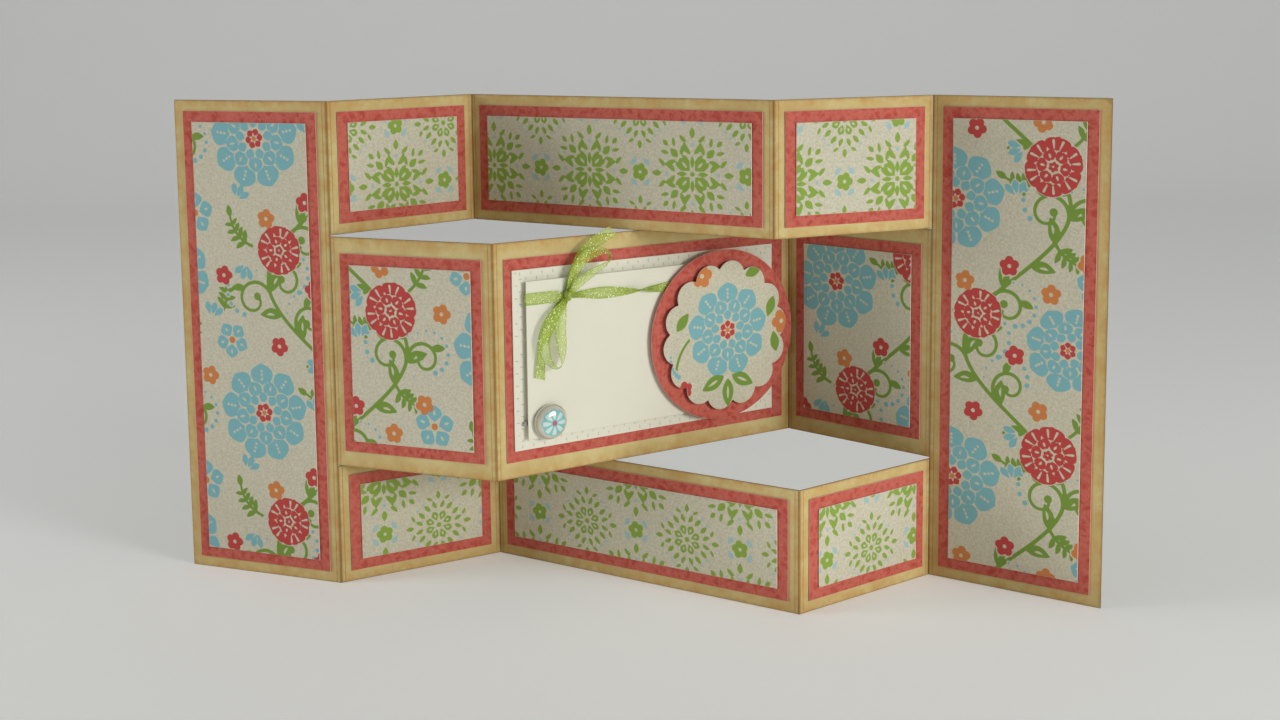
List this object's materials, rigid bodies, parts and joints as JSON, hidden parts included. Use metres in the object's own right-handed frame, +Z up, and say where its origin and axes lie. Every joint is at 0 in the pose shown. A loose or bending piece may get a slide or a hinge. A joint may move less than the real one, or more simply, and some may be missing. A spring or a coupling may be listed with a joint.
{
  "type": "tri-fold card",
  "caption": "Shutter card of creased card with slit bands that stands open, with red mats, patterned papers, a raised writing panel, a round scalloped tag, a ribbon bow and a brad.",
  "frame": {"origin": "middle of the standing card's footprint, on the surface it stands on", "axes": "+X along the card from the left flap to the right flap, -Y out of the front, +Z up"},
  "size_m": [0.26, 0.065, 0.1397],
  "materials": {
    "kraft_card": "matt, inked edges",
    "red_mat": "matt, faint tone-on-tone print",
    "patterned_paper": "matt, printed",
    "white_card": "matt, embossed border",
    "foam": "closed-cell foam",
    "ribbon": "sheer with glitter thread",
    "pearl": "glossy enamel dome",
    "brad_metal": "plated steel"
  },
  "bodies": {
    "bottom_centre": {"bottom_centre": "kraft_card", "bottom_centre_mat": "red_mat", "bottom_centre_paper": "patterned_paper"},
    "bottom_left": {"bottom_left": "kraft_card", "bottom_left_mat": "red_mat", "bottom_left_paper": "patterned_paper"},
    "bottom_right": {"bottom_right": "kraft_card", "bottom_right_mat": "red_mat", "bottom_right_paper": "patterned_paper"},
    "middle_centre": {"brad_dome": "pearl", "brad_leg_left": "brad_metal", "brad_leg_right": "brad_metal", "brad_rim": "brad_metal", "embossed_mat": "white_card", "middle_centre": "kraft_card", "middle_centre_mat": "red_mat", "panel_pad_1": "foam", "panel_pad_2": "foam", "panel_pad_3": "foam", "panel_pad_4": "foam", "ribbon_band_left": "ribbon", "ribbon_band_right": "ribbon", "ribbon_knot": "ribbon", "ribbon_loop_lower": "ribbon", "ribbon_loop_upper": "ribbon", "ribbon_tail_lower": "ribbon", "ribbon_tail_upper": "ribbon", "round_tag": "red_mat", "scallop_pad_1": "foam", "scallop_pad_2": "foam", "scallop_pad_3": "foam", "scalloped_tag": "patterned_paper", "tag_pad_1": "foam", "tag_pad_2": "foam", "tag_pad_3": "foam", "tag_pad_4": "foam", "writing_panel": "white_card"},
    "left_flap": {"left_flap": "kraft_card", "left_flap_mat": "red_mat", "left_flap_paper": "patterned_paper"},
    "middle_left": {"middle_left": "kraft_card", "middle_left_mat": "red_mat", "middle_left_paper": "patterned_paper"},
    "middle_right": {"middle_right": "kraft_card", "middle_right_mat": "red_mat", "middle_right_paper": "patterned_paper"},
    "right_flap": {"right_flap": "kraft_card", "right_flap_mat": "red_mat", "right_flap_paper": "patterned_paper"},
    "top_centre": {"top_centre": "kraft_card", "top_centre_mat": "red_mat", "top_centre_paper": "patterned_paper"},
    "top_left": {"top_left": "kraft_card", "top_left_mat": "red_mat", "top_left_paper": "patterned_paper"},
    "top_right": {"top_right": "kraft_card", "top_right_mat": "red_mat", "top_right_paper": "patterned_paper"}
  },
  "joints": [
    {"name": "middle_left_fold", "type": "hinge", "parent": "middle_centre", "child": "middle_left", "pos_m": [-0.03542, -0.02112, 0], "axis": [0, 0, -1], "range_deg": [-44, 36]},
    {"name": "middle_right_fold", "type": "hinge", "parent": "middle_centre", "child": "middle_right", "pos_m": [0.05101, 0.03228, 0], "axis": [0, 0, -1], "range_deg": [-43, 35]},
    {"name": "left_flap_fold", "type": "hinge", "parent": "middle_left", "child": "left_flap", "pos_m": [-0.08262, -0.00234, 0], "axis": [0, 0, 1], "range_deg": [-35, 120]},
    {"name": "right_flap_fold", "type": "hinge", "parent": "middle_right", "child": "right_flap", "pos_m": [0.08818, -0.00234, 0], "axis": [0, 0, 1], "range_deg": [-40, 115]},
    {"name": "top_left_fold", "type": "hinge", "parent": "middle_left", "child": "top_left", "pos_m": [-0.08262, -0.00234, 0], "axis": [0, 0, 1], "range_deg": [-43.5, 36]},
    {"name": "top_centre_fold", "type": "hinge", "parent": "top_left", "child": "top_centre", "pos_m": [-0.04499, 0.03178, 0], "axis": [0, 0, -1], "range_deg": [-42, 35]},
    {"name": "top_right_fold", "type": "hinge", "parent": "top_centre", "child": "top_right", "pos_m": [0.04129, -0.02187, 0], "axis": [0, 0, 1], "range_deg": [-45, 37]},
    {"name": "bottom_left_fold", "type": "hinge", "parent": "middle_left", "child": "bottom_left", "pos_m": [-0.08262, -0.00234, 0], "axis": [0, 0, 1], "range_deg": [-50, 41]},
    {"name": "bottom_centre_fold", "type": "hinge", "parent": "bottom_left", "child": "bottom_centre", "pos_m": [-0.03836, 0.0226, 0], "axis": [0, 0, -1], "range_deg": [-48.5, 40]},
    {"name": "bottom_right_fold", "type": "hinge", "parent": "bottom_centre", "child": "bottom_right", "pos_m": [0.04714, -0.03228, 0], "axis": [0, 0, 1], "range_deg": [-37, 30.5]}
  ],
  "couplings": [
    {"joint": "middle_right_fold", "follows": "middle_left_fold", "ratio": 0.956},
    {"joint": "top_left_fold", "follows": "middle_left_fold", "ratio": 0.973},
    {"joint": "top_centre_fold", "follows": "middle_left_fold", "ratio": 0.942},
    {"joint": "top_right_fold", "follows": "middle_left_fold", "ratio": 1.0105},
    {"joint": "bottom_left_fold", "follows": "middle_left_fold", "ratio": 1.1245},
    {"joint": "bottom_centre_fold", "follows": "middle_left_fold", "ratio": 1.089},
    {"joint": "bottom_right_fold", "follows": "middle_left_fold", "ratio": 0.8265}
  ]
}
